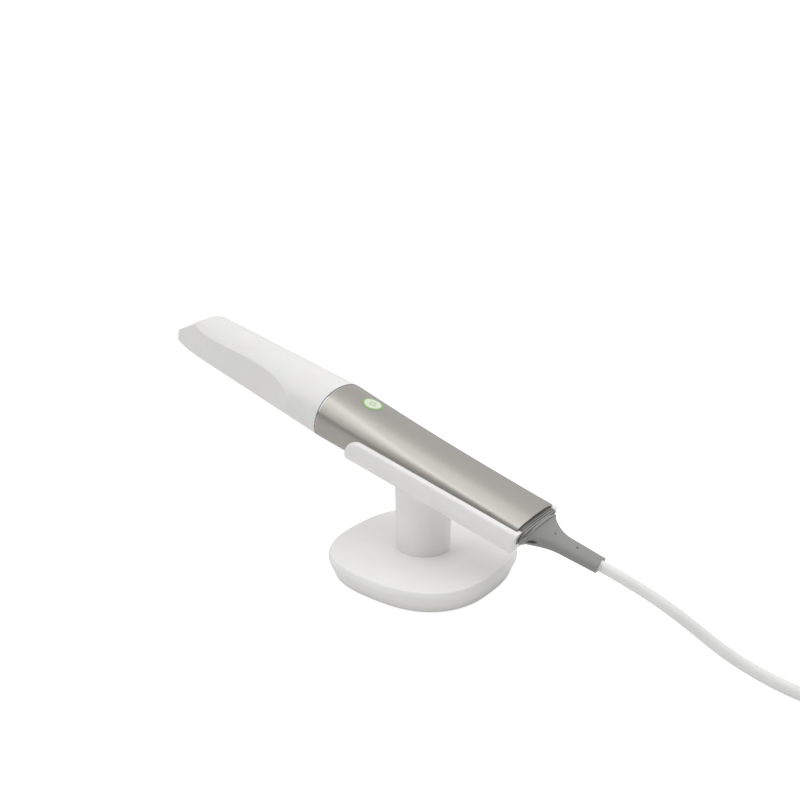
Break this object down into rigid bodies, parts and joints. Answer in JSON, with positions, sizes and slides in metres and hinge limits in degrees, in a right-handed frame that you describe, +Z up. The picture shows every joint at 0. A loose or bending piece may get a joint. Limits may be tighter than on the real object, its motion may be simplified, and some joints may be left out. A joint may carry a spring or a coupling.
{
  "type": "intraoral scanner",
  "caption": "Handheld intraoral scanner with a mirrored mouth tip, metal sleeve and lit button, lying in a cradle stand with its cable coiled beside it.",
  "frame": {"origin": "middle of the foot pad's underside, on the table under the post's centre line", "axes": "+Z up, +X along the scanner towards its cable, the mouth end towards -X"},
  "size_m": [0.5608, 0.1628, 0.1365],
  "materials": {
    "stand_white": "satin white moulding",
    "weight_iron": "plain cast weight",
    "plate_grey": "matt bottom plate",
    "foot_rubber": "soft non-slip rubber",
    "tip_white": "satin light grey-white, can be sterilised",
    "mirror": "front-silvered mirror",
    "sleeve_titanium": "fine warm titanium-grey metal, satin",
    "trim_chrome": "bright ring",
    "nose_black": "matt black moulding",
    "clear_glass": "clear coated glass",
    "seal_rubber": "soft seal",
    "button_white": "pale translucent cap",
    "ring_green": "translucent light guide, lit green",
    "board_green": "coated circuit board",
    "chip_black": "moulded black",
    "bench_aluminium": "bead-blasted aluminium",
    "module_black": "black coated housing",
    "lead_grey": "soft inner lead",
    "collar_grey": "matt grey collar",
    "boot_grey": "soft grey boot",
    "cable_white": "soft matt white jacket",
    "plug_white": "satin white plug",
    "contact_steel": "plated plug shell",
    "screw_steel": "plain steel screws"
  },
  "bodies": {
    "scanner": {"base_cover": "stand_white", "base_plate": "plate_grey", "foot_pad": "foot_rubber", "cradle": "stand_white", "sleeve_shell": "sleeve_titanium", "trim_ring": "trim_chrome", "nose_barrel": "nose_black", "tail_cap": "collar_grey", "cable_boot": "boot_grey", "cable_coil": "cable_white", "plug_relief": "cable_white", "plug_housing": "plug_white", "plug_contact": "contact_steel", "nose_glass": "clear_glass", "nose_seal": "seal_rubber", "light_ring": "ring_green", "button_board": "board_green", "button_switch": "chip_black", "button_bridge": "nose_black", "optical_bench": "bench_aluminium", "projector": "module_black", "projector_lens": "clear_glass", "camera_left": "module_black", "camera_right": "module_black", "camera_lens_left": "clear_glass", "camera_lens_right": "clear_glass", "main_board": "board_green", "processor_chip": "chip_black", "heat_sink": "bench_aluminium", "cable_socket": "chip_black", "inner_lead": "lead_grey", "bench_screw_1": "screw_steel", "bench_screw_2": "screw_steel", "bench_screw_3": "screw_steel", "bench_screw_4": "screw_steel", "board_screw_1": "screw_steel", "board_screw_2": "screw_steel", "board_screw_3": "screw_steel", "board_screw_4": "screw_steel", "base_weight": "weight_iron", "post_screw_1": "screw_steel", "post_screw_2": "screw_steel", "post_screw_3": "screw_steel", "cable": "cable_white"},
    "tip": {"tip_shell": "tip_white", "tip_mirror": "mirror"},
    "button": {"button_cap": "button_white"}
  },
  "joints": [
    {"name": "tip_slide", "type": "slide", "parent": "scanner", "child": "tip", "axis": [-0.969, 0, 0.247], "range_m": [0, 0.046]},
    {"name": "button_press", "type": "slide", "parent": "scanner", "child": "button", "axis": [-0.3525, 0, -0.9358], "range_m": [0, 0.0007], "stiffness_N_per_m": 900}
  ]
}
